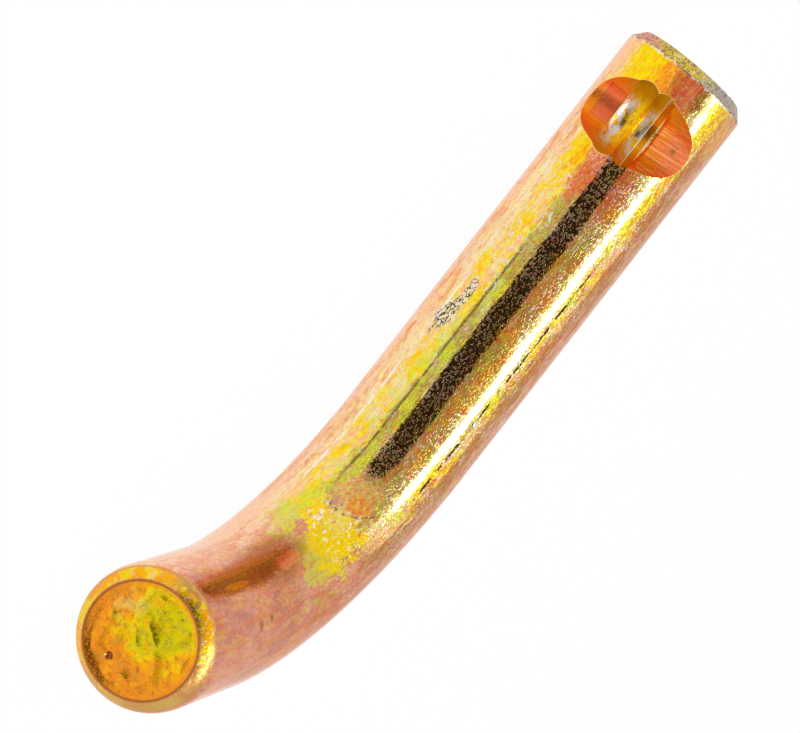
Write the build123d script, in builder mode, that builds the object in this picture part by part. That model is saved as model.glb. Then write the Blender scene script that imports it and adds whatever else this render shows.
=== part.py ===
"""Height adjustment pin: one piece of round steel bar, bent into a handle, with a notch near its tip.

The shank lies along X with its tip at +X. The bar bends in the XY plane, and the handle leaves
towards +Y, so the pin lies flat with Z up. The origin is on the shank's axis where the bend starts.
"""
import os
from math import cos, radians, sin, sqrt, tan

from build123d import *

# Bar and the path of its centre line
bar_diameter = 12.7
shank_length = 41.7
bend_radius = 24.7
bend_angle = 72.3
handle_length = 12.8

# Tip of the shank: sheared a little off square, then bevelled
tip_shear_angle = 2.4
tip_bevel_width = 0.9
tip_bevel_length = 1.1

# End of the handle: cropped a little off square, then bevelled, with a shallow dish and one small pit
end_shear_inward = 5.2
end_shear_upward = 3.9
end_bevel_width = 1.2
end_bevel_length = 1.5
dish_radius = 4.95
dish_floor_radius = 4.45
dish_depth = 0.26
pit_radius = 0.36
pit_offset = 3.26
pit_angle = 235.0

# Notch across the shank: two flared half-round pockets, one from each side of the bar
notch_setback = 7.7
pocket_turn_angle = 4.0
pocket_axis_height = 5.9
pocket_radius = 3.65
pocket_flare_angle = 17.5
left_pocket_start = 1.6
right_pocket_start = 1.49

# Two grooves side by side in the middle of the notch, with a sharp ridge between them
groove_turn_angle = 14.0
groove_axis_height = 5.6
groove_width = 2.05
groove_depth = 0.42
groove_runout = 0.35
ridge_offset = 1.07
ridge_radius = 3.51
right_groove_end = 0.5

# Land that levels the thin rib between the right groove and the right pocket
land_radius = 2.9
land_end = 1.3

# Deeper slot between the right groove and the rib
slot_axis_height = 5.1
slot_start = 0.2
slot_width = 0.58
slot_radius = 3.75

cut_overrun = 2.0

# Worked out from the sizes above
bar_radius = bar_diameter / 2
pocket_reach = bar_radius + cut_overrun
groove_arc_radius = (groove_width**2 / 4 + groove_depth**2) / (2 * groove_depth)


def notch_plane(turn_angle, axis_height):
    """Plane across the shank at the notch, with its x along a tool's axis and its y out of the mouth."""
    turn = radians(turn_angle)
    across = Plane(
        origin=(shank_length - notch_setback, 0, 0),
        x_dir=(0, -sin(turn), cos(turn)),
        z_dir=(-1, 0, 0),
    )
    return Plane(across.from_local_coords((0, axis_height, 0)), across.x_dir, across.z_dir)


def tool_axis(plane):
    """Axis that a tool turned about."""
    return Axis(plane.origin, plane.x_dir)


def pocket_profile(start, side):
    """Flared half profile of one pocket, from its inner end out past the bar's side."""
    flare = (pocket_reach - start) * tan(radians(pocket_flare_angle))
    return [
        (side * start, 0),
        (side * start, pocket_radius),
        (side * pocket_reach, pocket_radius - flare),
        (side * pocket_reach, 0),
    ]


with BuildPart() as pin:
    # Bar swept along shank, bend and handle
    with BuildLine() as centre_line:
        shank = Line((shank_length + cut_overrun, 0), (0, 0))
        bend = JernArc(shank @ 1, shank % 1, bend_radius, -bend_angle)
        handle = Line(bend @ 1, bend @ 1 + (bend % 1) * (handle_length + cut_overrun))
    with BuildSketch(Plane(origin=shank @ 0, z_dir=shank % 0)):
        Circle(bar_radius)
    sweep()

    # Sheared tip and its bevel
    shear = radians(tip_shear_angle)
    split(
        bisect_by=Plane(origin=(shank_length, 0, 0), z_dir=(cos(shear), 0, sin(shear))),
        keep=Keep.BOTTOM,
    )
    tip_face = pin.faces().sort_by(Axis.X)[-1]
    chamfer(tip_face.edges(), tip_bevel_width, tip_bevel_length, reference=tip_face)

    # Cropped end of the handle and its bevel
    end_middle = handle @ 0 + (handle % 0) * handle_length
    square_end = Plane(origin=end_middle, x_dir=(0, 0, 1), z_dir=handle % 1)
    end_plane = square_end.rotated((-end_shear_inward, end_shear_upward, 0))
    split(bisect_by=end_plane, keep=Keep.BOTTOM)
    end_face = pin.faces().filter_by(GeomType.PLANE).sort_by(Axis.Y)[-1]
    chamfer(end_face.edges(), end_bevel_width, end_bevel_length, reference=end_face)

    # Dish and pit in the handle's end
    with Locations(end_plane.offset(-dish_depth / 2)):
        Cone(dish_floor_radius, dish_radius, dish_depth, mode=Mode.SUBTRACT)
    with Locations(end_plane.offset(-dish_depth)):
        with PolarLocations(pit_offset, 1, start_angle=pit_angle):
            Sphere(pit_radius, mode=Mode.SUBTRACT)

    # Flared pockets of the notch; profiles are drawn on the open side, so no seam lies in the bar
    pocket_plane = notch_plane(pocket_turn_angle, pocket_axis_height)
    for start, side in ((left_pocket_start, -1), (right_pocket_start, 1)):
        with BuildSketch(pocket_plane):
            with BuildLine():
                Polyline(*pocket_profile(start, side), close=True)
            make_face()
        revolve(axis=tool_axis(pocket_plane), mode=Mode.SUBTRACT)

    # Pair of grooves with the ridge between them, and the land that levels the rib
    groove_plane = notch_plane(groove_turn_angle, groove_axis_height)
    left_end = -ridge_offset - groove_width
    right_middle = -ridge_offset + groove_width / 2
    right_drop = groove_arc_radius - sqrt(groove_arc_radius**2 - (right_groove_end - right_middle) ** 2)
    right_radius = ridge_radius + groove_depth - right_drop
    with BuildSketch(groove_plane):
        with BuildLine():
            SagittaArc((left_end, ridge_radius), (-ridge_offset, ridge_radius), groove_depth)
            ThreePointArc(
                (-ridge_offset, ridge_radius),
                (right_middle, ridge_radius + groove_depth),
                (right_groove_end, right_radius),
            )
            Polyline(
                (right_groove_end, right_radius),
                (right_groove_end, land_radius),
                (land_end, land_radius),
                (land_end, 0),
                (left_end - groove_runout, 0),
                (left_end - groove_runout, ridge_radius - groove_runout),
                (left_end, ridge_radius),
            )
        make_face()
    revolve(axis=tool_axis(groove_plane), mode=Mode.SUBTRACT)

    # Deeper slot
    slot_plane = notch_plane(groove_turn_angle, slot_axis_height)
    slot_end = slot_start + slot_width
    with BuildSketch(slot_plane):
        with BuildLine():
            Polyline(
                (slot_start, 0),
                (slot_start, slot_radius),
                (slot_end, slot_radius),
                (slot_end, 0),
                close=True,
            )
        make_face()
    revolve(axis=tool_axis(slot_plane), mode=Mode.SUBTRACT)

pin.part.label = "pin"

os.makedirs("parts", exist_ok=True)
export_step(pin.part, "parts/pin.step")
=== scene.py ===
"""Looks of the height adjustment pin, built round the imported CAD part.

The pin is modelled as a straight bar in millimetres, notched with turned cutters, and then bent along
the CAD part's centre line. Each vertex keeps its place on the straight bar, so that the plating's
colours and marks follow the bar round its bend.
"""
from math import cos, degrees, pi, radians, sin, sqrt, tan

import bpy
import numpy as np
from mathutils import Matrix, Vector, noise


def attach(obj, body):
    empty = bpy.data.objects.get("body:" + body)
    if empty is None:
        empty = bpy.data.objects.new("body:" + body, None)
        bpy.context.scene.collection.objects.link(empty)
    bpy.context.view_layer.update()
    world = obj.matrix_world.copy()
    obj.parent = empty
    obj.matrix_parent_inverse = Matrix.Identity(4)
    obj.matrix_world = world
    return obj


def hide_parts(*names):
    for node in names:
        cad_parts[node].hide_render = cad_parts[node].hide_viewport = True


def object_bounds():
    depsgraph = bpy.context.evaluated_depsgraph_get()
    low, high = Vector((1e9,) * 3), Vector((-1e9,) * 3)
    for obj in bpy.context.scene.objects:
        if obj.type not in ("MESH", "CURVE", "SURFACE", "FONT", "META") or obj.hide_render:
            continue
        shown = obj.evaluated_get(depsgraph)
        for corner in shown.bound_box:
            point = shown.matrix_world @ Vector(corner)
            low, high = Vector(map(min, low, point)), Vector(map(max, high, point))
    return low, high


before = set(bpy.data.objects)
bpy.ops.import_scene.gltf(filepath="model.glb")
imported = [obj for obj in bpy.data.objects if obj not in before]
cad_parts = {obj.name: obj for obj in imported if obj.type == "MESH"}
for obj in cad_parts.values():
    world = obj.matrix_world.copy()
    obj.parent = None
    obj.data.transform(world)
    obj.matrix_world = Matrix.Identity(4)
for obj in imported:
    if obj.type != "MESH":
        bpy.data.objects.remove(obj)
cad_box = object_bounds()

MM = 0.001

# Sizes of the CAD part, in millimetres and degrees
BAR_RADIUS = 6.35
SHANK_LENGTH = 41.7
BEND_RADIUS = 24.7
BEND_ANGLE = radians(72.3)
HANDLE_LENGTH = 12.8
BEND_LENGTH = BEND_RADIUS * BEND_ANGLE
HANDLE_END = -(BEND_LENGTH + HANDLE_LENGTH)
TIP_SHEAR = tan(radians(2.4))
TIP_BEVEL_WIDTH = 0.9
TIP_BEVEL_LENGTH = 1.1
END_LEAN_INWARD = tan(radians(5.2))
END_LEAN_UPWARD = tan(radians(3.9))
END_FACE_RADIUS = 5.15
DISH_RADIUS = 4.95
DISH_FLOOR_RADIUS = 4.45
DISH_DEPTH = 0.26
PIT_RADIUS = 0.36
PIT_PLACE = (-2.83, -1.60)
NOTCH_X = 34.0
POCKET_TURN = 4.0
POCKET_HEIGHT = 5.9
POCKET_RADIUS = 3.65
POCKET_FLARE = tan(radians(17.5))
LEFT_POCKET_START = 1.6
RIGHT_POCKET_START = 1.49
POCKET_REACH = 8.35
GROOVE_TURN = 14.0
GROOVE_HEIGHT = 5.6
GROOVE_WIDTH = 2.05
GROOVE_DEPTH = 0.42
GROOVE_RUNOUT = 0.35
RIDGE_OFFSET = 1.07
RIDGE_RADIUS = 3.51
RIGHT_GROOVE_END = 0.5
LAND_RADIUS = 2.9
LAND_END = 1.3
SLOT_HEIGHT = 5.1
SLOT_START = 0.2
SLOT_WIDTH = 0.58
SLOT_RADIUS = 3.75

# Bevel of the handle's end, with its outer edge rounded over: distance from the end face, and radius
END_BEVEL = ((0.04, 5.22), (0.22, 5.45), (0.5, 5.75), (0.8, 6.0), (1.12, 6.17), (1.45, 6.28))
END_BEVEL_FOOT = 1.95
RING_REACH = 6.1

# Wear on the ends that the CAD part leaves out, in millimetres
BROAD_LUMPS = 0.09
SMALL_LUMPS = 0.045
LUMP_RIDGES = 0.16
LUMP_OFFSET = 0.06
BROAD_BURR = 0.07
SMALL_BURR = 0.035
BURR_RUN = 0.3

# Distances over which the ends go from square to sheared: where the shear starts, and its run
TIP_SHEAR_START = 4.0
TIP_SHEAR_RUN = 2.5
END_LEAN_START = 5.0
END_LEAN_RUN = 3.0

# Mesh density
RING_POINTS = 192
RING_SPACING = 0.4
END_FACE_RINGS = 46
TIP_FACE_RINGS = 12
TOOL_POINTS = 160
TOOL_START_TURN = 0.0123
POCKET_STEPS = 12
GROOVE_STEPS = 18
SHARP_ANGLE = radians(24)

# Cutters of the notch, as the number that each leaves on its faces; 0 is the bar itself
POCKET_TOOL = 1
GROOVE_TOOL = 2
SLOT_TOOL = 3

# Camera of the photograph: places in metres, lens and sensor in millimetres
CAMERA_PLACE = Vector((-0.001939, 0.317843, 0.077274))
CAMERA_AIM = Vector((0.004203, 0.001162, -0.0042))
CAMERA_ROLL = radians(127.69)
CAMERA_LENS = 162.26
CAMERA_SENSOR = 36.0


# Mesh

def noise_at(points, scale, seed):
    """Smooth noise from -1 to 1 at each point."""
    shift = Vector((seed * 17.3, seed * 5.1, seed * 11.7))
    return np.array([noise.noise(Vector(p) * scale + shift) for p in points])


def ring_profile():
    """Distance along the straight bar and radius of each ring, from the tip's face to the handle's."""
    tip_inner = BAR_RADIUS - TIP_BEVEL_WIDTH
    bevel_foot = SHANK_LENGTH - TIP_BEVEL_LENGTH
    end_foot = HANDLE_END + END_BEVEL_FOOT
    rings = [(SHANK_LENGTH, r) for r in np.linspace(0.4, tip_inner, TIP_FACE_RINGS)]
    for share in np.linspace(0.2, 0.8, 4):
        rings.append((SHANK_LENGTH - TIP_BEVEL_LENGTH * share, tip_inner + TIP_BEVEL_WIDTH * share))
    count = int((bevel_foot - end_foot) / RING_SPACING)
    rings += [(x, BAR_RADIUS) for x in np.linspace(bevel_foot, end_foot, count)]
    rings += [(HANDLE_END + setback, radius) for setback, radius in reversed(END_BEVEL)]
    rings += [(HANDLE_END, r) for r in np.linspace(END_FACE_RADIUS, 0.15, END_FACE_RINGS)]
    return rings


def end_face_depth(points):
    """How far the handle's end face lies below flat: a dish, a small pit and the cropping tool's lumps."""
    y, z = points[:, 1], points[:, 2]
    radius = np.hypot(y, z)
    depth = DISH_DEPTH * np.clip((DISH_RADIUS - radius) / (DISH_RADIUS - DISH_FLOOR_RADIUS), 0, 1)
    from_pit = np.hypot(y - PIT_PLACE[0], z - PIT_PLACE[1])
    pit = DISH_DEPTH + np.sqrt(np.clip(PIT_RADIUS**2 - from_pit**2, 0, None))
    ridges = (1 - np.abs(noise_at(points, 0.38, 3))) ** 6
    lumps = BROAD_LUMPS * noise_at(points, 0.5, 1) + SMALL_LUMPS * noise_at(points, 1.4, 2)
    lumps = lumps - LUMP_RIDGES * ridges + LUMP_OFFSET
    inside = np.clip((DISH_FLOOR_RADIUS + 0.2 - radius) / 0.5, 0, 1)
    depth = depth + lumps * inside
    return np.where(from_pit < PIT_RADIUS, np.maximum(depth, pit), depth)


def end_lean(points):
    """How far the cropped end of the handle lies off square at each point."""
    return END_LEAN_INWARD * points[:, 1] + END_LEAN_UPWARD * points[:, 2]


def roughened_tip(points):
    """Small burrs where the shears left the tip's bevel uneven."""
    near = np.clip((points[:, 0] - (SHANK_LENGTH - TIP_BEVEL_LENGTH - BURR_RUN)) / BURR_RUN, 0, 1)
    burr = BROAD_BURR * noise_at(points, 1.1, 4) + SMALL_BURR * noise_at(points, 3.0, 5)
    shrink = 1 - near * np.abs(burr) / BAR_RADIUS
    points[:, 1] *= shrink
    points[:, 2] *= shrink
    points[:, 0] += np.where(near > 0.99, np.minimum(burr, 0), 0)
    return points


def straight_bar():
    """Closed mesh of the bar before it is bent: vertices in millimetres, and faces."""
    turns = np.linspace(0, 2 * pi, RING_POINTS, endpoint=False)
    rings = ring_profile()
    points = [np.array([[SHANK_LENGTH, 0.0, 0.0]])]
    for x, radius in rings:
        ring = np.column_stack([np.full(RING_POINTS, x), radius * np.cos(turns), radius * np.sin(turns)])
        points.append(ring)
    points.append(np.array([[HANDLE_END, 0.0, 0.0]]))
    points = roughened_tip(np.concatenate(points))
    on_end = points[:, 0] < HANDLE_END + 1e-6
    points[on_end, 0] += end_face_depth(points[on_end])
    tip_share = np.clip((points[:, 0] - (SHANK_LENGTH - TIP_SHEAR_START)) / TIP_SHEAR_RUN, 0, 1)
    end_share = np.clip((HANDLE_END + END_LEAN_START - points[:, 0]) / END_LEAN_RUN, 0, 1)
    points[:, 0] -= TIP_SHEAR * points[:, 2] * tip_share
    points[:, 0] += end_lean(points) * end_share
    return points, ring_faces(len(rings), RING_POINTS)


def ring_faces(ring_count, ring_points, flipped=False):
    """Quads between rings that follow each other, with a fan at each end."""
    faces = []
    last = 1 + ring_count * ring_points
    foot = last - ring_points
    for first in range(ring_points):
        j, k = first, (first + 1) % ring_points
        if flipped:
            j, k = k, j
        faces.append((0, 1 + j, 1 + k))
        faces.append((last, foot + k, foot + j))
        for a in range(1, foot, ring_points):
            b = a + ring_points
            faces.append((a + j, b + j, b + k, a + k))
    return faces


def tool_axes(turn_angle):
    """Direction of a cutter's axis across the bar, and the one that points out of the bar beside it."""
    turn = radians(turn_angle)
    return np.array([0, -sin(turn), cos(turn)]), np.array([0, cos(turn), sin(turn)])


def turned_tool(profile, turn_angle, height):
    """Closed mesh of a cutter turned about its axis across the shank."""
    axis, out = tool_axes(turn_angle)
    middle = np.array([NOTCH_X, 0, 0]) + out * height
    turns = np.linspace(0, 2 * pi, TOOL_POINTS, endpoint=False) + TOOL_START_TURN
    spokes = np.outer(np.cos(turns), [1, 0, 0]) + np.outer(np.sin(turns), out)
    points = [[middle + axis * profile[0][0]]]
    points += [middle + axis * along + spokes * radius for along, radius in profile]
    points.append([middle + axis * profile[-1][0]])
    return np.concatenate(points), ring_faces(len(profile), TOOL_POINTS, flipped=True)


def pocket_profile(start, side):
    """Flared profile of one pocket, from its inner end out past the bar's side."""
    steps = np.linspace(start, POCKET_REACH, POCKET_STEPS)
    profile = [(side * u, POCKET_RADIUS - (u - start) * POCKET_FLARE) for u in steps]
    return profile if side > 0 else profile[::-1]


def groove_profile():
    """Profile of the pair of grooves: two arcs that meet in a sharp ridge, a run-out and a land."""
    left_end = -RIDGE_OFFSET - GROOVE_WIDTH
    half = GROOVE_WIDTH / 2
    arc_radius = (half**2 + GROOVE_DEPTH**2) / (2 * GROOVE_DEPTH)
    profile = [(left_end - GROOVE_RUNOUT, RIDGE_RADIUS - GROOVE_RUNOUT)]
    right_reach = RIGHT_GROOVE_END - left_end - 3 * half
    for centre, reach in ((left_end + half, half), (left_end + 3 * half, right_reach)):
        for offset in np.linspace(-half, reach, GROOVE_STEPS):
            rise = sqrt(arc_radius**2 - offset**2) - (arc_radius - GROOVE_DEPTH)
            profile.append((centre + offset, RIDGE_RADIUS + rise))
    profile.append((RIGHT_GROOVE_END, LAND_RADIUS))
    profile.append((LAND_END, LAND_RADIUS))
    return profile


def slot_profile():
    """Profile of the deeper slot beside the right groove."""
    return [(SLOT_START + SLOT_WIDTH * share, SLOT_RADIUS) for share in np.linspace(0, 1, 4)]


def notch_tools():
    """Profile, turn, axis height and number of each cutter."""
    return [
        (pocket_profile(LEFT_POCKET_START, -1), POCKET_TURN, POCKET_HEIGHT, POCKET_TOOL),
        (pocket_profile(RIGHT_POCKET_START, 1), POCKET_TURN, POCKET_HEIGHT, POCKET_TOOL),
        (groove_profile(), GROOVE_TURN, GROOVE_HEIGHT, GROOVE_TOOL),
        (slot_profile(), GROOVE_TURN, SLOT_HEIGHT, SLOT_TOOL),
    ]


def notch_gap(points):
    """How far each point lies outside the nearest cutter, in millimetres."""
    gaps = []
    for profile, turn_angle, height, _ in notch_tools():
        axis, out = tool_axes(turn_angle)
        across = points @ axis
        places, radii = np.array(profile).T
        gap = np.hypot(points[:, 0] - NOTCH_X, points @ out - height) - np.interp(across, places, radii)
        gaps.append(np.maximum(gap, np.maximum(places[0] - across, across - places[-1])))
    return np.min(gaps, axis=0)


def linked(name, data):
    """New object in the scene that shows the data."""
    made = bpy.data.objects.new(name, data)
    bpy.context.scene.collection.objects.link(made)
    return made


def new_object(name, points, faces, material_index=0):
    """Linked mesh object made from points and faces."""
    mesh = bpy.data.meshes.new(name)
    mesh.from_pydata([tuple(p) for p in points], [], faces)
    mesh.polygons.foreach_set("material_index", [material_index] * len(mesh.polygons))
    for _ in range(SLOT_TOOL + 1):
        mesh.materials.append(None)
    return linked(name, mesh)


def notched_bar():
    """Mesh of the straight bar with the notch cut. A face's material index says which tool left it."""
    bar = new_object("straight_bar", *straight_bar())
    cutters = []
    for profile, turn_angle, height, index in notch_tools():
        cutter = new_object("tool", *turned_tool(profile, turn_angle, height), index)
        cutters.append(cutter)
        cut = bar.modifiers.new("cut", "BOOLEAN")
        cut.operation = "DIFFERENCE"
        cut.solver = "EXACT"
        cut.object = cutter
    graph = bpy.context.evaluated_depsgraph_get()
    mesh = bpy.data.meshes.new_from_object(bar.evaluated_get(graph))
    for scrap in (bar, *cutters):
        bpy.data.objects.remove(scrap)
    return mesh


def bend(points):
    """Places of straight-bar points on the bent bar, in millimetres."""
    along = -points[:, 0]
    angle = np.clip(along / BEND_RADIUS, 0, BEND_ANGLE)
    past = np.clip(along - BEND_LENGTH, 0, None)
    before = np.clip(-along, 0, None)
    inward = BEND_RADIUS - points[:, 1]
    x = -inward * np.sin(angle) - past * cos(BEND_ANGLE) + before
    y = BEND_RADIUS - inward * np.cos(angle) + past * sin(BEND_ANGLE)
    return np.column_stack([x, y, points[:, 2]])


def add_attribute(mesh, name, kind, domain, values):
    """Named values on a mesh for the material to read."""
    made = mesh.attributes.new(name, kind, domain)
    field = "vector" if kind == "FLOAT_VECTOR" else "value"
    made.data.foreach_set(field, np.asarray(values, np.float32).ravel())


def mark_zones(mesh):
    """Says on each face which surface it belongs to: end face, its bevel, tip, pocket, groove or slot."""
    count = len(mesh.polygons)
    tool = np.zeros(count, np.int32)
    mesh.polygons.foreach_get("material_index", tool)
    centres = np.zeros(count * 3, np.float32)
    mesh.polygons.foreach_get("center", centres)
    centres = centres.reshape(-1, 3)
    radius = np.hypot(centres[:, 1], centres[:, 2])
    tip_foot = SHANK_LENGTH - TIP_BEVEL_LENGTH - TIP_SHEAR * centres[:, 2]
    past_end = centres[:, 0] - end_lean(centres) - HANDLE_END
    zones = {
        "zone_pocket": tool == POCKET_TOOL,
        "zone_groove": tool == GROOVE_TOOL,
        "zone_slot": tool == SLOT_TOOL,
        "zone_tip": (centres[:, 0] > tip_foot) & (tool == 0),
        "zone_end": (past_end < 1.0) & (radius < END_FACE_RADIUS),
    }
    zones["zone_ring"] = (past_end < END_BEVEL_FOOT) & (radius < RING_REACH) & ~zones["zone_end"]
    for name, inside in zones.items():
        add_attribute(mesh, name, "FLOAT", "FACE", inside)
    mesh.polygons.foreach_set("material_index", [0] * count)


def pin_object():
    """The finished pin, bent and in metres."""
    mesh = notched_bar()
    flat = np.zeros(len(mesh.vertices) * 3, np.float32)
    mesh.vertices.foreach_get("co", flat)
    points = flat.reshape(-1, 3).astype(float)
    add_attribute(mesh, "straight", "FLOAT_VECTOR", "POINT", points)
    add_attribute(mesh, "notch_gap", "FLOAT", "POINT", notch_gap(points))
    mark_zones(mesh)
    mesh.vertices.foreach_set("co", (bend(points) * MM).astype(np.float32).ravel())
    mesh.polygons.foreach_set("use_smooth", [True] * len(mesh.polygons))
    mesh.set_sharp_from_angle(angle=SHARP_ANGLE)
    mesh.materials.clear()
    mesh.update()
    return linked("plated_pin", mesh)


# Nodes

def add_node(tree, kind, inputs=None, **settings):
    """New node; an input that is a socket is linked, and any other is set."""
    made = tree.nodes.new(kind)
    for name, value in settings.items():
        setattr(made, name, value)
    for key, value in (inputs or {}).items():
        if isinstance(value, bpy.types.NodeSocket):
            tree.links.new(value, made.inputs[key])
        else:
            made.inputs[key].default_value = value
    return made


def math(tree, operation, a, b=0.0):
    """Result of one sum."""
    return add_node(tree, "ShaderNodeMath", {0: a, 1: b}, operation=operation).outputs[0]


def times(tree, *shares):
    """Product of several shares."""
    product = shares[0]
    for share in shares[1:]:
        product = math(tree, "MULTIPLY", product, share)
    return product


def total(tree, *terms):
    """Sum of several terms."""
    added = terms[0]
    for term in terms[1:]:
        added = math(tree, "ADD", added, term)
    return added


def step(tree, value, low, high):
    """0 at low and 1 at high, eased between."""
    inputs = {"Value": value, "From Min": low, "From Max": high}
    made = add_node(tree, "ShaderNodeMapRange", inputs, interpolation_type="SMOOTHSTEP")
    return made.outputs[0]


def band(tree, value, low, high, ease):
    """1 between low and high, easing to 0 outside."""
    rise = step(tree, value, low - ease, low + ease)
    return times(tree, rise, step(tree, value, high + ease, high - ease))


def vector_sum(tree, operation, vector, other, output=0):
    """Result of one vector sum."""
    return add_node(tree, "ShaderNodeVectorMath", {0: vector, 1: other}, operation=operation).outputs[output]


def noise_value(tree, vector, scale, detail=2.0, distortion=0.0):
    """Noise from 0 to 1, about 0.5 on average."""
    inputs = {"Vector": vector, "Scale": scale, "Detail": detail, "Distortion": distortion}
    return add_node(tree, "ShaderNodeTexNoise", inputs).outputs[0]


def mixed(tree, share, low, high):
    """Colour that goes from low to high as share goes from 0 to 1."""
    inputs = {0: share, 6: low, 7: high}
    return add_node(tree, "ShaderNodeMix", inputs, data_type="RGBA").outputs[2]


def laid(tree, colour, over, value, low, high, strength):
    """Colour with another laid over it as a value goes from low to high."""
    return mixed(tree, times(tree, step(tree, value, low, high), strength), colour, over)


def ramp(tree, value, stops):
    """Colour that runs through the stops as value goes from -1 to 1."""
    made = add_node(tree, "ShaderNodeValToRGB", {0: math(tree, "MULTIPLY_ADD", value, 0.5)})
    made.inputs[0].links[0].from_node.inputs[2].default_value = 0.5
    elements = made.color_ramp.elements
    while len(elements) < len(stops):
        elements.new(0.5)
    for element, (place, colour) in zip(elements, stops):
        element.position = place * 0.5 + 0.5
        element.color = colour
    return made.outputs[0]


def attribute(tree, name, output="Fac"):
    """Values that the mesh carries under a name."""
    return add_node(tree, "ShaderNodeAttribute", attribute_name=name).outputs[output]


def spot(tree, place, centre, radii):
    """1 at a place on the straight bar, easing to 0 at the radii round it."""
    away = vector_sum(tree, "SUBTRACT", place, centre)
    scaled = vector_sum(tree, "MULTIPLY", away, tuple(1 / r for r in radii))
    reach = vector_sum(tree, "LENGTH", scaled, (0, 0, 0), 1)
    return step(tree, reach, 1.0, 0.45)


def lines(tree, value, width):
    """Thin curved lines where a noise passes through its middle."""
    off = math(tree, "ABSOLUTE", math(tree, "SUBTRACT", value, 0.5))
    return step(tree, off, width, width * 0.4)


# Colours of the plating, and of the light and shade painted on it, in linear light
PEACH = (1.0, 0.65, 0.43, 1)
APRICOT = (0.98, 0.60, 0.28, 1)
CREAM = (0.98, 0.82, 0.42, 1)
STRAW = (0.92, 0.71, 0.23, 1)
CITRON = (0.82, 0.67, 0.10, 1)
GOLD = (0.90, 0.55, 0.14, 1)
TAN = (0.82, 0.45, 0.13, 1)
BRONZE = (0.62, 0.42, 0.10, 1)
SIENNA = (0.52, 0.25, 0.08, 1)
UMBER = (0.58, 0.34, 0.13, 1)
ROSE = (0.60, 0.29, 0.15, 1)
DUSK = (0.70, 0.38, 0.25, 1)
YELLOW = (0.97, 0.66, 0.006, 1)
LIME = (0.66, 0.70, 0.04, 1)
ACID = (0.72, 0.60, 0.004, 1)
ORANGE = (0.92, 0.30, 0.02, 1)
AMBER = (0.99, 0.44, 0.008, 1)
CINNAMON = (0.62, 0.19, 0.04, 1)
BRICK = (0.76, 0.14, 0.05, 1)
EMBER = (0.98, 0.19, 0.07, 1)
SALMON = (0.80, 0.24, 0.09, 1)
PINK = (0.58, 0.22, 0.16, 1)
BLUSH = (0.76, 0.33, 0.25, 1)
CORAL = (1.0, 0.25, 0.09, 1)
FLAME = (1.0, 0.28, 0.012, 1)
PALE = (0.82, 0.78, 0.78, 1)
WHITE = (1.0, 0.96, 0.86, 1)
OLIVE = (0.50, 0.38, 0.05, 1)
RUST = (0.40, 0.13, 0.035, 1)
BROWN = (0.15, 0.09, 0.03, 1)
INK = (0.03, 0.025, 0.035, 1)
STEEL = (0.46, 0.43, 0.42, 1)

# Film across the bar, from one edge of the photographed side to the other. Painted light lies in it:
# peach at the edges is a painted grazing reflection, the olive, bronze and umber bands round the dark
# stripe and up to the highlight are painted dark reflection, and the cream under the highlight is a painted
# highlight
ACROSS = (
    (-1.0, PEACH), (-0.85, APRICOT), (-0.74, CREAM), (-0.64, STRAW), (-0.54, STRAW), (-0.43, CITRON),
    (-0.34, OLIVE), (-0.24, BRONZE), (-0.15, UMBER), (0.10, UMBER), (0.16, TAN), (0.25, BRONZE),
    (0.41, BRONZE), (0.50, CREAM), (0.61, GOLD), (0.71, APRICOT), (0.79, SIENNA), (0.88, ROSE), (1.0, DUSK),
)
# At the tip, the brick and salmon band is a painted reflection of the dark card, the olive beside it is
# painted dark reflection, and the cream is a painted highlight
ACROSS_TIP = (
    (-1.0, PEACH), (-0.86, APRICOT), (-0.74, YELLOW), (-0.48, YELLOW), (-0.32, AMBER), (-0.12, ORANGE),
    (0.02, BRICK), (0.26, SALMON), (0.36, OLIVE), (0.46, CREAM), (0.62, YELLOW), (0.80, TAN), (1.0, DUSK),
)

# Turn of the bar's side that faces the camera, and the photo's right and up on the handle's end face
FACING = radians(13.7)
FACE_RIGHT = (0, 0.60, 0.80)
FACE_UP = (0, 0.80, -0.60)

# Gloss of the film, the tint of its reflections, and the depth of its unevenness in metres
BASE_ROUGHNESS = 0.07
SPECULAR_LEVEL = 0.2
SPECULAR_TINT = (1.0, 0.84, 0.76, 1)
RELIEF_DEPTH = 0.000008

# How far the film hides the metal in each zone, and how much rougher than the shank each zone is
TIP_COVER = 0.3
ZONE_COVER = {
    "zone_pocket": 0.35,
    "zone_slot": 0.1,
    "zone_groove": 0.15,
    "zone_end": 0.12,
    "zone_ring": 0.1,
}
ZONE_ROUGHNESS = {
    "zone_pocket": 0.12,
    "zone_slot": 0.22,
    "zone_groove": 0.26,
    "zone_end": 0.18,
    "zone_ring": 0.16,
    "zone_tip": 0.24,
}

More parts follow.
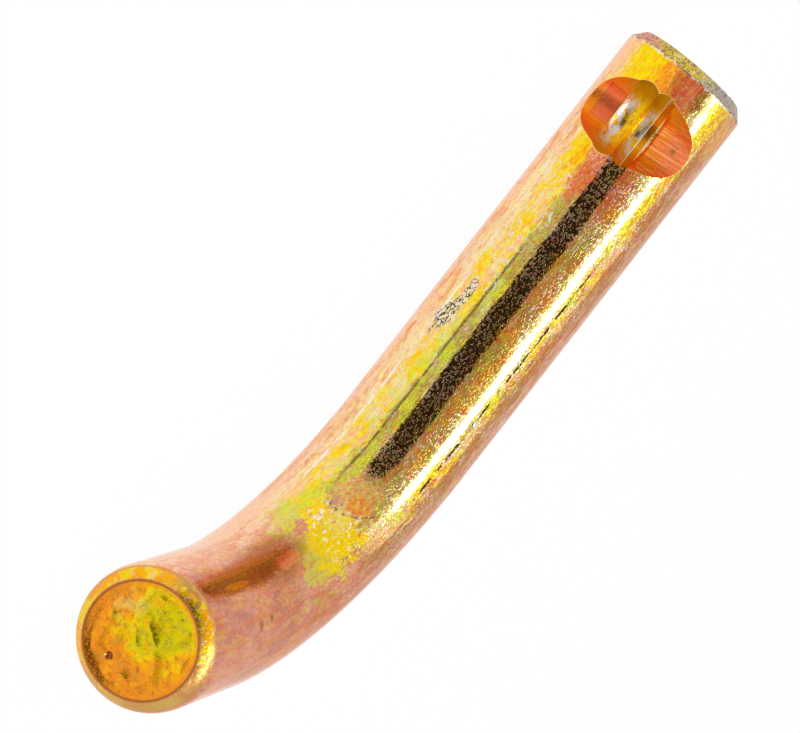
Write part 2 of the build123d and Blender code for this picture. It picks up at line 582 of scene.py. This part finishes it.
# Patches in the film: colour, scale of their noise, its threshold, strength, and the range in which
# they lie across the photographed side and along the straight bar
PATCHES = (
    (ORANGE, 1.3, 0.57, 0.50, -1.2, -0.64, -14, 34),
    (SALMON, 1.0, 0.56, 0.45, -1.2, -0.66, -16, 40),
    (CREAM, 1.0, 0.50, 0.70, -0.85, -0.45, -18, 28),
    (LIME, 0.7, 0.44, 0.90, -0.66, -0.34, -19, 12),
    (LIME, 1.1, 0.52, 0.80, -0.58, -0.34, -10, 26),
    (YELLOW, 0.8, 0.43, 0.95, -0.72, -0.36, 12, 38),
    (YELLOW, 1.2, 0.48, 0.90, -0.70, -0.38, -16, 32),
    (AMBER, 0.8, 0.47, 0.80, -0.56, -0.30, 24, 40),
    (APRICOT, 1.1, 0.55, 0.75, -0.78, -0.36, -18, 26),
    (OLIVE, 0.8, 0.42, 0.75, -0.37, -0.17, -9, 25),
    (LIME, 0.9, 0.53, 0.80, -0.32, -0.16, -9, 18),
    (CINNAMON, 0.9, 0.51, 0.60, 0.12, 0.46, -12, 31),
    (OLIVE, 1.0, 0.52, 0.70, 0.12, 0.46, -13, 28),
    (ORANGE, 1.3, 0.56, 0.55, 0.12, 0.48, -4, 30),
    (YELLOW, 1.1, 0.50, 0.85, 0.57, 0.78, -8, 40),
    (ORANGE, 1.1, 0.54, 0.60, 0.60, 0.78, -6, 40),
    (LIME, 0.9, 0.56, 0.80, 0.62, 0.78, -8, 36),
    (CINNAMON, 1.0, 0.53, 0.45, 0.76, 1.20, -24, 40),
    (PEACH, 1.2, 0.56, 0.40, 0.88, 1.20, -24, 40),
    (SIENNA, 0.7, 0.42, 0.60, 0.75, 0.87, -12, 40),
    (SALMON, 0.9, 0.52, 0.50, -0.7, 1.20, -50, -18),
    (TAN, 1.2, 0.54, 0.45, -0.5, 1.20, -50, -18),
    (CINNAMON, 1.5, 0.57, 0.45, -0.3, 1.20, -50, -14),
)

# Marks at single places: colour, place along the bar, turn round it in degrees, half sizes along and
# round, raggedness and strength
MARKS = (
    (LIME, -16.6, -10.0, 4.6, 12.0, 1.6, 0.60),
    (LIME, -18.0, 27.0, 5.2, 31.0, 1.6, 0.65),
    (YELLOW, -15.7, 23.0, 4.0, 28.0, 1.6, 0.95),
    # Painted highlight: a faint cream core on the bend's bright patch
    (CREAM, -14.4, 17.0, 1.8, 9.0, 2.0, 0.20),
    (TAN, -9.8, 15.0, 2.8, 19.0, 1.0, 0.85),
    (ORANGE, -10.8, 22.0, 1.4, 9.0, 1.0, 0.60),
    # Painted reflection of the dark card in the bend: the next two dark rust marks
    (RUST, -34.0, 14.0, 10.5, 10.5, 0.35, 0.75),
    (RUST, -26.4, 10.5, 6.8, 21.0, 0.45, 0.70),
    (CORAL, -23.8, 17.0, 2.2, 7.0, 0.8, 0.55),
    (AMBER, -35.6, 19.0, 2.6, 3.0, 0.6, 0.80),
    (RUST, -33.4, 54.2, 0.45, 4.5, 0.6, 0.90),
    (RUST, -31.2, 51.6, 0.40, 4.0, 0.6, 0.90),
    # Painted reflection of a dim zone: the next two brick marks, on both sides of the dark stripe near the
    # notch
    (BRICK, 28.6, -3.0, 4.2, 10.0, 0.7, 0.85),
    (BRICK, 28.5, 26.0, 4.2, 8.0, 0.8, 0.70),
    (CINNAMON, 39.6, 8.0, 1.4, 2.5, 0.6, 0.80),
    (RUST, 39.2, 33.0, 1.8, 4.0, 1.0, 0.80),
)

# Lines along the bar: colour, turn round it from and to, places from and to, share that is broken, strength.
# The white line is a painted highlight, and the brown and ink lines are painted reflections of dark things
# round the pin
LINES = (
    # Painted highlight: thin white line
    (WHITE, -33.4, -30.6, -13.0, 14.0, 0.45, 0.75),
    # Painted reflection: thin brown line
    (BROWN, -7.7, -5.3, -9.0, 20.0, 0.34, 0.80),
    (YELLOW, 3.0, 4.6, -7.0, 18.0, 0.47, 0.80),
    # Painted reflection: broken ink line beside the highlight
    (INK, 52.5, 54.8, -6.0, 22.0, 0.45, 1.00),
    (CINNAMON, 65.6, 68.4, -4.0, 39.0, 0.40, 0.60),
)


class Fields:
    """Places and noise over the straight bar that the layers of the plating share."""

    def __init__(self, tree):
        self.place = attribute(tree, "straight", "Vector")
        split = add_node(tree, "ShaderNodeSeparateXYZ", {0: self.place})
        self.along, self.inward, self.height = split.outputs
        turn = math(tree, "ARCTAN2", self.height, self.inward)
        self.turn = math(tree, "MULTIPLY", turn, degrees(1))
        self.side = math(tree, "SINE", math(tree, "SUBTRACT", turn, FACING))
        squares = total(tree, times(tree, self.inward, self.inward), times(tree, self.height, self.height))
        self.reach = math(tree, "SQRT", squares)
        lean = radians(GROOVE_TURN)
        self.across_notch = vector_sum(tree, "DOT_PRODUCT", self.place, (0, -sin(lean), cos(lean)), 1)
        self.face_right = vector_sum(tree, "DOT_PRODUCT", self.place, FACE_RIGHT, 1)
        self.face_up = vector_sum(tree, "DOT_PRODUCT", self.place, FACE_UP, 1)
        self.patches = self.drawn_noise(tree, 0.45, 0.32, 3, 0)
        self.streaks = self.drawn_noise(tree, 0.14, 1.5, 4, 1)
        self.grain = self.drawn_noise(tree, 0.5, 2.6, 3, 2)
        self.flecks = self.drawn_noise(tree, 0.5, 3.4, 3, 3)
        self.specks = self.drawn_noise(tree, 0.7, 5.0, 2, 4)
        self.dots = self.drawn_noise(tree, 1.0, 5.5, 1, 5)
        self.scuffing = self.drawn_noise(tree, 0.5, 0.5, 2, 6)
        self.mottle = self.drawn_noise(tree, 0.8, 0.7, 5, 7)
        self.ragged = total(
            tree,
            off_middle(tree, self.mottle, 1.3),
            off_middle(tree, self.streaks, 0.9),
            off_middle(tree, self.flecks, 1.2),
        )

    def drawn_noise(self, tree, stretch, scale, detail, seed):
        """Noise drawn out along the bar."""
        moved = vector_sum(tree, "MULTIPLY_ADD", self.place, (stretch, 1, 1))
        moved.node.inputs[2].default_value = (seed * 31.7, seed * 12.9, seed * 23.3)
        return noise_value(tree, moved, scale, detail)


def off_middle(tree, value, reach):
    """How far a noise is from its middle, scaled."""
    return times(tree, math(tree, "SUBTRACT", value, 0.5), reach)


def patch_share(tree, fields, seed, scale, threshold, sides, places):
    """Where one kind of patch shows: ragged islands inside a range of the bar."""
    islands = total(tree, fields.drawn_noise(tree, 0.3, scale, 4, seed), times(tree, fields.ragged, 0.20))
    across = math(tree, "ADD", fields.side, times(tree, fields.ragged, 0.16))
    along = math(tree, "ADD", fields.along, times(tree, fields.ragged, 5.0))
    return times(
        tree,
        step(tree, islands, threshold - 0.05, threshold + 0.05),
        band(tree, across, *sides, 0.05),
        band(tree, along, *places, 2.5),
    )


def mark_share(tree, fields, along, turn, half_length, half_turn, raggedness):
    """1 on a ragged mark round one place on the bar, and 0 off it."""
    off_along = math(tree, "DIVIDE", math(tree, "SUBTRACT", fields.along, along), half_length)
    off_turn = math(tree, "DIVIDE", math(tree, "SUBTRACT", fields.turn, turn), half_turn)
    off = math(tree, "SQRT", total(tree, times(tree, off_along, off_along), times(tree, off_turn, off_turn)))
    return step(tree, math(tree, "ADD", off, times(tree, fields.ragged, raggedness)), 1.15, 0.70)


def film(tree, fields):
    """Mottled plating of the bar: gold on the shank, orange at the tip, pink round the bend, with painted
    reflections and highlights in bands across the side that faces the camera.
    """
    wander = total(tree, off_middle(tree, fields.streaks, 0.5), off_middle(tree, fields.grain, 0.3))
    across = math(tree, "ADD", fields.side, wander)
    gold = ramp(tree, across, ACROSS)
    shifted = total(tree, fields.along, times(tree, fields.patches, 8.0), times(tree, fields.grain, 4.0))
    colour = mixed(tree, step(tree, shifted, -11.0, -5.0), pink_film(tree, fields), gold)
    for seed, (patch, scale, threshold, strength, *ranges) in enumerate(PATCHES):
        share = patch_share(tree, fields, seed + 10, scale, threshold, ranges[:2], ranges[2:])
        colour = mixed(tree, times(tree, share, strength), colour, patch)
    shifted = total(tree, fields.along, times(tree, fields.patches, 5.0), times(tree, fields.grain, 2.0))
    colour = mixed(tree, step(tree, shifted, 38.5, 40.5), colour, ramp(tree, across, ACROSS_TIP))
    for mark, *place, strength in MARKS:
        share = mark_share(tree, fields, *place)
        colour = mixed(tree, times(tree, share, strength), colour, mark)
    turned_away = step(tree, math(tree, "ADD", fields.inward, times(tree, fields.ragged, 2.0)), -2.2, -4.6)
    return mixed(tree, turned_away, colour, back_film(tree, fields))


def back_film(tree, fields):
    """Tan and pink film, flecked with yellow, on the side that the photo doesn't show."""
    colour = mixed(tree, step(tree, fields.mottle, 0.38, 0.62), TAN, BLUSH)
    islands = math(tree, "ADD", fields.patches, times(tree, fields.ragged, 0.2))
    colour = laid(tree, colour, STRAW, islands, 0.52, 0.62, 0.45)
    return laid(tree, colour, CINNAMON, fields.streaks, 0.55, 0.65, 0.5)


def pink_film(tree, fields):
    """Pink film round the bend and on the handle, with peach painted on its upper edge as a grazing
    reflection.
    """
    colour = mixed(tree, step(tree, fields.patches, 0.40, 0.60), PINK, BLUSH)
    # Painted grazing reflection: peach along the upper edge
    edge = math(tree, "ADD", fields.side, off_middle(tree, fields.grain, 0.6))
    return mixed(tree, step(tree, edge, -0.20, -0.62), colour, PEACH)


def fold_and_reflection_lines(tree, fields, colour):
    """Fold where the bend starts, and the thin lines that run along the shank, among them a painted
    highlight and painted reflections.
    """
    curve = math(tree, "SUBTRACT", fields.turn, 9.0)
    fold = math(tree, "SUBTRACT", math(tree, "ADD", fields.along, 13.2), times(tree, curve, curve, 0.0038))
    fold = math(tree, "ABSOLUTE", math(tree, "ADD", fold, off_middle(tree, fields.grain, 0.7)))
    fold = times(tree, step(tree, fold, 0.22, 0.08), band(tree, fields.turn, 0.0, 40.0, 2.0))
    colour = mixed(tree, times(tree, fold, step(tree, fields.flecks, 0.42, 0.50), 0.85), colour, BROWN)
    turn = math(tree, "ADD", fields.turn, times(tree, fields.ragged, 0.8))
    for seed, (line, turn_from, turn_to, start, end, gaps, strength) in enumerate(LINES):
        broken = step(tree, fields.drawn_noise(tree, 0.3, 2.6, 3, seed + 40), gaps, gaps + 0.04)
        on_turn = band(tree, turn, turn_from, turn_to, 0.3)
        in_reach = band(tree, fields.along, start, end, 2.0)
        colour = mixed(tree, times(tree, on_turn, in_reach, broken, strength), colour, line)
    return colour


def speckled(tree, fields, colour):
    """Fine grains of other hues, so that no patch is one flat colour."""
    drawn = vector_sum(tree, "MULTIPLY", fields.place, (0.5, 1, 1))
    noise_inputs = {"Vector": drawn, "Scale": 3.2, "Detail": 4.0}
    grains = add_node(tree, "ShaderNodeTexNoise", noise_inputs).outputs["Color"]
    strong = vector_sum(tree, "MULTIPLY_ADD", grains, (1.0, 2.2, 1.2))
    strong.node.inputs[2].default_value = (0.0, -0.6, -0.1)
    share = math(tree, "MULTIPLY_ADD", step(tree, fields.along, -20.0, -10.0), 0.3)
    share.node.inputs[2].default_value = 0.25
    inputs = {0: share, 6: colour, 7: strong}
    made = add_node(tree, "ShaderNodeMix", inputs, data_type="RGBA", blend_type="OVERLAY", clamp_result=True)
    return made.outputs[2]


def wear(tree, fields, colour):
    """Pale scuffs and curly scratches, small specks, one dark rubbed mark, and white streaks painted on the
    bend as a highlight.
    """
    on_shank = band(tree, fields.along, -12.0, 36.0, 3.0)
    scratched = times(tree, step(tree, fields.scuffing, 0.48, 0.58), on_shank)
    colour = mixed(tree, times(tree, step(tree, fields.specks, 0.57, 0.63), scratched, 0.55), colour, PALE)
    curls = noise_value(tree, vector_sum(tree, "MULTIPLY", fields.place, (0.7, 1, 1)), 0.6, 1, 1.5)
    colour = mixed(tree, times(tree, lines(tree, curls, 0.008), scratched, 0.8), colour, PALE)
    scraped = mark_share(tree, fields, 21.0, -18.0, 7.0, 18.0, 1.0)
    colour = mixed(tree, times(tree, lines(tree, curls, 0.016), scraped, 0.85), colour, PALE)
    fine = noise_value(tree, vector_sum(tree, "MULTIPLY", fields.place, (0.5, 1, 1)), 1.5, 1, 2.0)
    colour = mixed(tree, times(tree, lines(tree, fine, 0.020), scraped, 0.6), colour, PALE)
    colour = mixed(tree, times(tree, lines(tree, fine, 0.010), scratched, 0.6), colour, PALE)
    colour = laid(tree, colour, CINNAMON, fields.dots, 0.67, 0.72, 0.6)
    colour = laid(tree, colour, APRICOT, fields.dots, 0.34, 0.29, 0.6)
    # Painted highlight: white streaks on the bright patch of the bend
    rubbed = step(tree, math(tree, "ADD", fields.grain, times(tree, fields.ragged, 0.2)), 0.56, 0.64)
    bend_highlight = times(tree, mark_share(tree, fields, -15.0, 20.0, 4.0, 24.0, 1.0), rubbed)
    colour = mixed(tree, times(tree, bend_highlight, 0.70), colour, WHITE)
    lower = mark_share(tree, fields, 10.2, -25.5, 2.0, 6.5, 1.0)
    upper = mark_share(tree, fields, 12.9, -20.8, 2.1, 5.0, 1.0)
    near = math(tree, "MAXIMUM", lower, upper)
    curled = lines(tree, fields.drawn_noise(tree, 0.7, 2.8, 2, 8), 0.065)
    colour = mixed(tree, times(tree, near, 0.45), colour, PALE)
    return mixed(tree, times(tree, near, curled), colour, INK)


def off_face_place(tree, fields, place):
    """Distance from one place on the handle's end, given right and up as the photo shows it."""
    right = math(tree, "SUBTRACT", fields.face_right, place[0])
    up = math(tree, "SUBTRACT", fields.face_up, place[1])
    return math(tree, "SQRT", total(tree, times(tree, right, right), times(tree, up, up)))


def end_face_colour(tree, fields):
    """Mottled orange, yellow and olive of the handle's end, with painted shade on the wall of its dish and a
    brown edge.
    """
    broad = off_middle(tree, noise_value(tree, fields.place, 0.55, 6), 7.0)
    off = math(tree, "ADD", off_face_place(tree, fields, (1.7, 1.2)), broad)
    colour = mixed(tree, step(tree, off, 4.8, 3.4), ORANGE, AMBER)
    colour = mixed(tree, step(tree, off, 3.7, 2.7), colour, YELLOW)
    colour = mixed(tree, step(tree, off, 3.1, 1.9), colour, ACID)
    pale = math(tree, "ADD", off_face_place(tree, fields, (-0.8, 3.1)), times(tree, broad, 0.6))
    colour = laid(tree, colour, STRAW, pale, 1.6, 0.4, 0.45)
    blotch = noise_value(tree, fields.place, 1.3, 4)
    colour = laid(tree, colour, AMBER, blotch, 0.55, 0.62, 0.6)
    colour = laid(tree, colour, OLIVE, blotch, 0.46, 0.36, 0.35)
    fine = noise_value(tree, fields.place, 2.2, 5)
    colour = laid(tree, colour, RUST, fine, 0.54, 0.68, 0.5)
    # Painted shade: orange on the wall of the dish
    dish_wall_shade = times(tree, step(tree, fields.reach, 4.5, 4.7), 0.5)
    colour = mixed(tree, dish_wall_shade, colour, ORANGE)
    pit = spot(tree, fields.place, (HANDLE_END, *PIT_PLACE), (2.0, 0.5, 0.42))
    colour = mixed(tree, pit, colour, RUST)
    return laid(tree, colour, RUST, fields.reach, 4.90, 4.95, 0.85)


def ring_colour(tree, fields):
    """Patchy orange, yellow and pale bevel round the handle's end, umber towards the bottom, with brown
    painted reflections on its right and thin rose painted reflections along its two edges.
    """
    colour = mixed(tree, step(tree, fields.drawn_noise(tree, 1.0, 0.6, 3, 9), 0.46, 0.54), AMBER, YELLOW)
    colour = laid(tree, colour, APRICOT, fields.grain, 0.53, 0.58, 0.7)
    colour = laid(tree, colour, ACID, fields.specks, 0.56, 0.62, 0.5)
    colour = laid(tree, colour, ORANGE, fields.patches, 0.52, 0.58, 0.6)
    low = math(tree, "ADD", fields.face_up, times(tree, fields.ragged, 4.0))
    colour = laid(tree, colour, UMBER, low, 0.0, -4.5, 0.75)
    on_right = step(tree, fields.face_right, 2.5, 4.0)
    # Painted reflection: brown patches on the right of the bevel
    brown_reflections = step(tree, fields.drawn_noise(tree, 1.0, 0.45, 2, 11), 0.50, 0.53)
    colour = mixed(tree, times(tree, on_right, brown_reflections, 0.8), colour, SIENNA)
    # Painted reflection: thin rose lines along the bevel's inner and outer edges
    colour = laid(tree, colour, ROSE, fields.reach, 5.26, 5.20, 0.6)
    return laid(tree, colour, ROSE, fields.reach, 5.98, 6.08, 0.6)


def tip_colour(tree, fields):
    """Rough bevel of the sheared tip: olive and tan, blush at its lower end and grey at its upper end."""
    colour = mixed(tree, step(tree, fields.streaks, 0.42, 0.56), OLIVE, ACID)
    colour = laid(tree, colour, TAN, fields.flecks, 0.50, 0.56, 0.7)
    ragged = math(tree, "ADD", fields.height, times(tree, fields.ragged, 3.0))
    colour = laid(tree, colour, BLUSH, ragged, -1.5, -3.5, 0.85)
    colour = laid(tree, colour, STEEL, ragged, 2.0, 4.0, 0.85)
    colour = laid(tree, colour, STEEL, fields.grain, 0.58, 0.64, 0.4)
    colour = laid(tree, colour, PALE, fields.flecks, 0.43, 0.38, 0.4)
    colour = mixed(tree, step(tree, fields.reach, 5.46, 5.36), colour, tip_face_colour(tree, fields))
    return laid(tree, colour, BROWN, fields.specks, 0.54, 0.60, 0.7)


def tip_face_colour(tree, fields):
    """Torn flat face of the tip: straw and bronze with bare grey streaks."""
    colour = mixed(tree, step(tree, fields.mottle, 0.40, 0.60), BRONZE, STRAW)
    torn = noise_value(tree, vector_sum(tree, "MULTIPLY", fields.place, (1.0, 1.0, 0.25)), 1.6, 4)
    colour = laid(tree, colour, STEEL, torn, 0.50, 0.60, 0.7)
    return laid(tree, colour, TAN, torn, 0.44, 0.36, 0.6)


def tip_edge(tree, fields, colour):
    """Grey and white speckled line where the bevel meets the bar."""
    sheared = math(tree, "ADD", fields.along, times(tree, fields.height, TIP_SHEAR))
    ragged = math(tree, "ADD", sheared, off_middle(tree, fields.grain, 0.6))
    line = band(tree, ragged, 40.44, 40.72, 0.06)
    colour = mixed(tree, times(tree, line, step(tree, fields.grain, 0.42, 0.50), 0.8), colour, PALE)
    return mixed(tree, times(tree, line, step(tree, fields.mottle, 0.50, 0.56), 0.8), colour, BROWN)


def pocket_colour(tree, fields):
    """Clear orange and coral film in the pockets, with fine rulings across the right one, and a painted
    reflection in the left one: a red rectangle with a dark frame.
    """
    rulings = noise_value(tree, vector_sum(tree, "MULTIPLY", fields.place, (5.0, 0.3, 0.3)), 1.0, 3)
    colour = mixed(tree, step(tree, fields.patches, 0.42, 0.58), FLAME, CORAL)
    right = step(tree, fields.across_notch, 0.8, 1.2)
    colour = mixed(tree, times(tree, right, step(tree, rulings, 0.52, 0.56), 0.55), colour, CINNAMON)
    colour = mixed(tree, times(tree, right, step(tree, rulings, 0.43, 0.39), 0.55), colour, APRICOT)
    # Painted reflection: red rectangle with a dark rust frame in the left pocket
    window_reflection = times(
        tree,
        band(tree, fields.across_notch, -4.9, -3.25, 0.06),
        band(tree, fields.along, 32.9, 36.0, 0.06),
    )
    window_reflection_frame = times(
        tree,
        band(tree, fields.across_notch, -5.02, -3.13, 0.05),
        band(tree, fields.along, 32.75, 36.15, 0.05),
    )
    colour = mixed(tree, times(tree, window_reflection_frame, 0.55), colour, RUST)
    colour = mixed(tree, times(tree, window_reflection, 0.85), colour, EMBER)
    colour = laid(tree, colour, AMBER, fields.along, 35.8, 37.0, 0.7)
    stain = spot(tree, fields.place, (34.6, 1.9, 3.9), (1.0, 1.5, 0.6))
    return mixed(tree, times(tree, stain, step(tree, fields.specks, 0.44, 0.52)), colour, RUST)


def groove_colour(tree, fields):
    """Middle of the notch: amber, yellow and olive, rubbed white and grey, with a gilt rib. Dark spots in
    the grooves are painted reflections, olive near the rim is painted shade, and white lines along the slot
    and rib edges are painted highlights.
    """
    across = fields.across_notch
    colour = mixed(tree, step(tree, fields.patches, 0.42, 0.56), AMBER, YELLOW)
    colour = laid(tree, colour, ACID, fields.along, 35.6, 36.8, 0.8)
    colour = laid(tree, colour, ORANGE, fields.flecks, 0.52, 0.58, 0.5)
    worn = math(tree, "MAXIMUM", band(tree, across, -3.1, -1.9, 0.2), band(tree, across, -0.7, 0.15, 0.15))
    deep = band(tree, fields.along, 31.4, 36.2, 0.6)
    rubbing = step(tree, math(tree, "ADD", fields.grain, times(tree, fields.ragged, 0.15)), 0.42, 0.50)
    colour = mixed(tree, times(tree, worn, deep, rubbing, 0.95), colour, PALE)
    colour = mixed(tree, times(tree, deep, step(tree, fields.dots, 0.62, 0.66), 0.7), colour, RUST)
    # Painted reflection: a dark spot in each groove
    for place in (-2.0, -0.35):
        dark_reflection = band(tree, across, place - 0.2, place + 0.2, 0.12)
        dark_reflection = times(tree, dark_reflection, band(tree, fields.along, 33.6, 34.3, 0.2))
        colour = mixed(tree, times(tree, dark_reflection, 0.9), colour, BROWN)
    # Painted shade: olive near the rim
    colour = laid(tree, colour, OLIVE, fields.reach, 5.5, 6.0, 0.7)
    # Painted highlight: white line along the slot's edge
    colour = mixed(tree, times(tree, band(tree, across, 0.09, 0.25, 0.02), 0.9), colour, WHITE)
    gilt = mixed(tree, step(tree, fields.specks, 0.46, 0.56), YELLOW, CREAM)
    colour = mixed(tree, step(tree, across, 0.60, 0.64), colour, gilt)
    # Painted highlight: white line along the rib's edge
    return mixed(tree, times(tree, band(tree, across, 0.70, 0.85, 0.02), 0.9), colour, WHITE)


def notch_rim_highlight(tree, fields, colour):
    """Thin gilt line painted along the notch's edge as a highlight."""
    near = math(tree, "ADD", attribute(tree, "notch_gap"), off_middle(tree, fields.flecks, 0.2))
    return laid(tree, colour, GOLD, near, 0.14, 0.07, 0.7)


def pin_material():
    """Zinc plating with a yellow chromate film, scuffed and mottled, with reflections, highlights and shade
    painted into its colour in places.
    """
    material = bpy.data.materials.new("plated_steel")
    material.use_nodes = True
    tree = material.node_tree
    shader = tree.nodes["Principled BSDF"]
    shader.inputs["Specular IOR Level"].default_value = SPECULAR_LEVEL
    shader.inputs["Specular Tint"].default_value = SPECULAR_TINT
    fields = Fields(tree)
    colour = speckled(tree, fields, film(tree, fields))
    colour = wear(tree, fields, fold_and_reflection_lines(tree, fields, colour))
    colour = tip_edge(tree, fields, notch_rim_highlight(tree, fields, colour))
    zones = {
        "zone_pocket": pocket_colour(tree, fields),
        "zone_slot": AMBER,
        "zone_groove": groove_colour(tree, fields),
        "zone_end": end_face_colour(tree, fields),
        "zone_ring": ring_colour(tree, fields),
        "zone_tip": tip_colour(tree, fields),
    }
    for zone, zone_colour in zones.items():
        colour = mixed(tree, attribute(tree, zone), colour, zone_colour)
    tree.links.new(colour, shader.inputs["Base Color"])
    tree.links.new(metal_share(tree, fields), shader.inputs["Metallic"])
    tree.links.new(roughness(tree, fields), shader.inputs["Roughness"])
    tree.links.new(relief(tree, fields), shader.inputs["Normal"])
    return material


def metal_share(tree, fields):
    """How much of the bare metal shows through; the film is thicker where nothing rubs it."""
    by_tip = times(tree, step(tree, fields.along, 35.0, 39.0), band(tree, fields.side, -0.15, 0.32, 0.1))
    by_zone = [times(tree, attribute(tree, zone), cover) for zone, cover in ZONE_COVER.items()]
    covered = total(tree, times(tree, by_tip, TIP_COVER), *by_zone)
    return math(tree, "SUBTRACT", 1.0, covered)


def roughness(tree, fields):
    """Gloss of the film, dulled on scuffs, on the worn ends and in the notch."""
    scuffs = times(tree, step(tree, fields.specks, 0.50, 0.62), 0.12)
    flecks = times(tree, step(tree, fields.flecks, 0.52, 0.62), 0.10)
    by_zone = [times(tree, attribute(tree, zone), rough) for zone, rough in ZONE_ROUGHNESS.items()]
    return total(tree, scuffs, flecks, *by_zone, BASE_ROUGHNESS)


def relief(tree, fields):
    """Fine unevenness of the film and of the drawn bar under it."""
    pimples = times(tree, step(tree, fields.specks, 0.53, 0.62), 0.9)
    waves = times(tree, fields.patches, 7.0)
    height = total(
        tree, fields.grain, times(tree, fields.specks, 0.35), times(tree, fields.mottle, 2.5), pimples, waves
    )
    sheltered = math(tree, "MAXIMUM", attribute(tree, "zone_pocket"), attribute(tree, "zone_slot"))
    strength = math(tree, "SUBTRACT", 1.0, times(tree, sheltered, 0.75))
    inputs = {"Strength": strength, "Distance": RELIEF_DEPTH, "Height": height}
    return add_node(tree, "ShaderNodeBump", inputs).outputs[0]


# Studio

TENT = (0.88, 0.88, 0.88, 1)
DIM_FRONT = (0.62, 0.60, 0.56, 1)
FULL_WHITE = (1, 1, 1, 1)
FLOOR_GREY = (0.95, 0.95, 0.95, 1)
FLOOR_REACH = 4.0
FLOOR_GLOW = 0.975
LAMP_PLACE = (0.0, 0.1, 0.5)
LAMP_SIZE = (0.36, 0.095)
LAMP_WATTS = 1.0
CARD_BLACK = (0.04, 0.034, 0.03, 1)
CARD_HALF_WIDTH = 0.043
CARD_HALF_HEIGHT = 0.033
CARD_AWAY = 0.086
CARD_HEIGHT = 0.0185
CARD_POINTS = 64


def add_camera():
    """Camera at the photograph's place, rolled as it was held."""
    data = bpy.data.cameras.new("photo_camera")
    data.lens = CAMERA_LENS
    data.sensor_width = CAMERA_SENSOR
    data.clip_start = 0.01
    made = linked("photo_camera", data)
    level = (CAMERA_AIM - CAMERA_PLACE).to_track_quat("-Z", "Y").to_matrix()
    turned = level @ Matrix.Rotation(CAMERA_ROLL, 3, "Z")
    made.matrix_world = Matrix.Translation(CAMERA_PLACE) @ turned.to_4x4()
    bpy.context.scene.camera = made


def add_floor():
    """Pale floor under the pin that keeps a faint shadow."""
    height = cad_box[0].z
    signs = ((-1, -1), (1, -1), (1, 1), (-1, 1))
    corners = [(FLOOR_REACH * x, FLOOR_REACH * y, height) for x, y in signs]
    mesh = bpy.data.meshes.new("floor")
    mesh.from_pydata(corners, [], [(0, 1, 2, 3)])
    made = linked("floor", mesh)
    material = bpy.data.materials.new("pale_floor")
    material.use_nodes = True
    tree = material.node_tree
    tree.nodes.clear()
    diffuse = add_node(tree, "ShaderNodeBsdfDiffuse", {"Color": FLOOR_GREY})
    glow = add_node(tree, "ShaderNodeEmission", {"Color": FULL_WHITE, "Strength": 1.0})
    path = add_node(tree, "ShaderNodeLightPath").outputs
    seen = math(tree, "MAXIMUM", path["Is Camera Ray"], path["Is Glossy Ray"])
    seen = math(tree, "MAXIMUM", seen, path["Is Transmission Ray"])
    share = math(tree, "MULTIPLY", seen, FLOOR_GLOW)
    both = add_node(tree, "ShaderNodeMixShader", {0: share, 1: diffuse.outputs[0], 2: glow.outputs[0]})
    add_node(tree, "ShaderNodeOutputMaterial", {"Surface": both.outputs[0]})
    mesh.materials.append(material)


def add_world():
    """White tent, dimmer on the camera's side; the background itself is white."""
    world = bpy.data.worlds.new("studio")
    bpy.context.scene.world = world
    world.use_nodes = True
    tree = world.node_tree
    tree.nodes.clear()
    way = add_node(tree, "ShaderNodeTexCoord").outputs["Generated"]
    across, forward, upward = add_node(tree, "ShaderNodeSeparateXYZ", {0: way}).outputs
    height = math(tree, "ARCTAN2", upward, forward)
    front = times(
        tree,
        step(tree, height, radians(-2), radians(6)),
        step(tree, height, radians(72), radians(64)),
        step(tree, math(tree, "ABSOLUTE", across), 0.75, 0.35),
    )
    colour = mixed(tree, front, TENT, DIM_FRONT)
    path = add_node(tree, "ShaderNodeLightPath").outputs
    colour = mixed(tree, path["Is Camera Ray"], colour, FULL_WHITE)
    glow = add_node(tree, "ShaderNodeBackground", {"Color": colour, "Strength": 1.0})
    add_node(tree, "ShaderNodeOutputWorld", {"Surface": glow.outputs[0]})


def add_lamp():
    """Long soft box almost straight above the shank."""
    data = bpy.data.lights.new("soft_box", "AREA")
    data.shape = "RECTANGLE"
    data.size, data.size_y = LAMP_SIZE
    data.energy = LAMP_WATTS
    linked("soft_box", data).location = LAMP_PLACE


def add_flag():
    """Dark card where the photographer stood; only the metal's reflections see it."""
    ring = []
    for turn in np.linspace(0, 2 * pi, CARD_POINTS, endpoint=False):
        across = CARD_HALF_WIDTH * np.sign(cos(turn)) * abs(cos(turn)) ** 0.5
        upward = CARD_HALF_HEIGHT * np.sign(sin(turn)) * abs(sin(turn)) ** 0.5
        ring.append((across, CARD_AWAY, CARD_HEIGHT + upward))
    mesh = bpy.data.meshes.new("flag")
    mesh.from_pydata(ring, [], [tuple(range(CARD_POINTS))])
    made = linked("flag", mesh)
    made.visible_camera = False
    made.visible_diffuse = False
    made.visible_shadow = False
    made.visible_transmission = False
    material = bpy.data.materials.new("black_card")
    material.use_nodes = True
    shader = material.node_tree.nodes["Principled BSDF"]
    shader.inputs["Base Color"].default_value = CARD_BLACK
    shader.inputs["Roughness"].default_value = 1.0
    shader.inputs["Specular IOR Level"].default_value = 0.0
    mesh.materials.append(material)


pin = pin_object()
pin.data.materials.append(pin_material())
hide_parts("pin")
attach(pin, "root")
add_floor()
add_world()
add_lamp()
add_flag()
add_camera()
bpy.context.scene.view_settings.view_transform = "Standard"
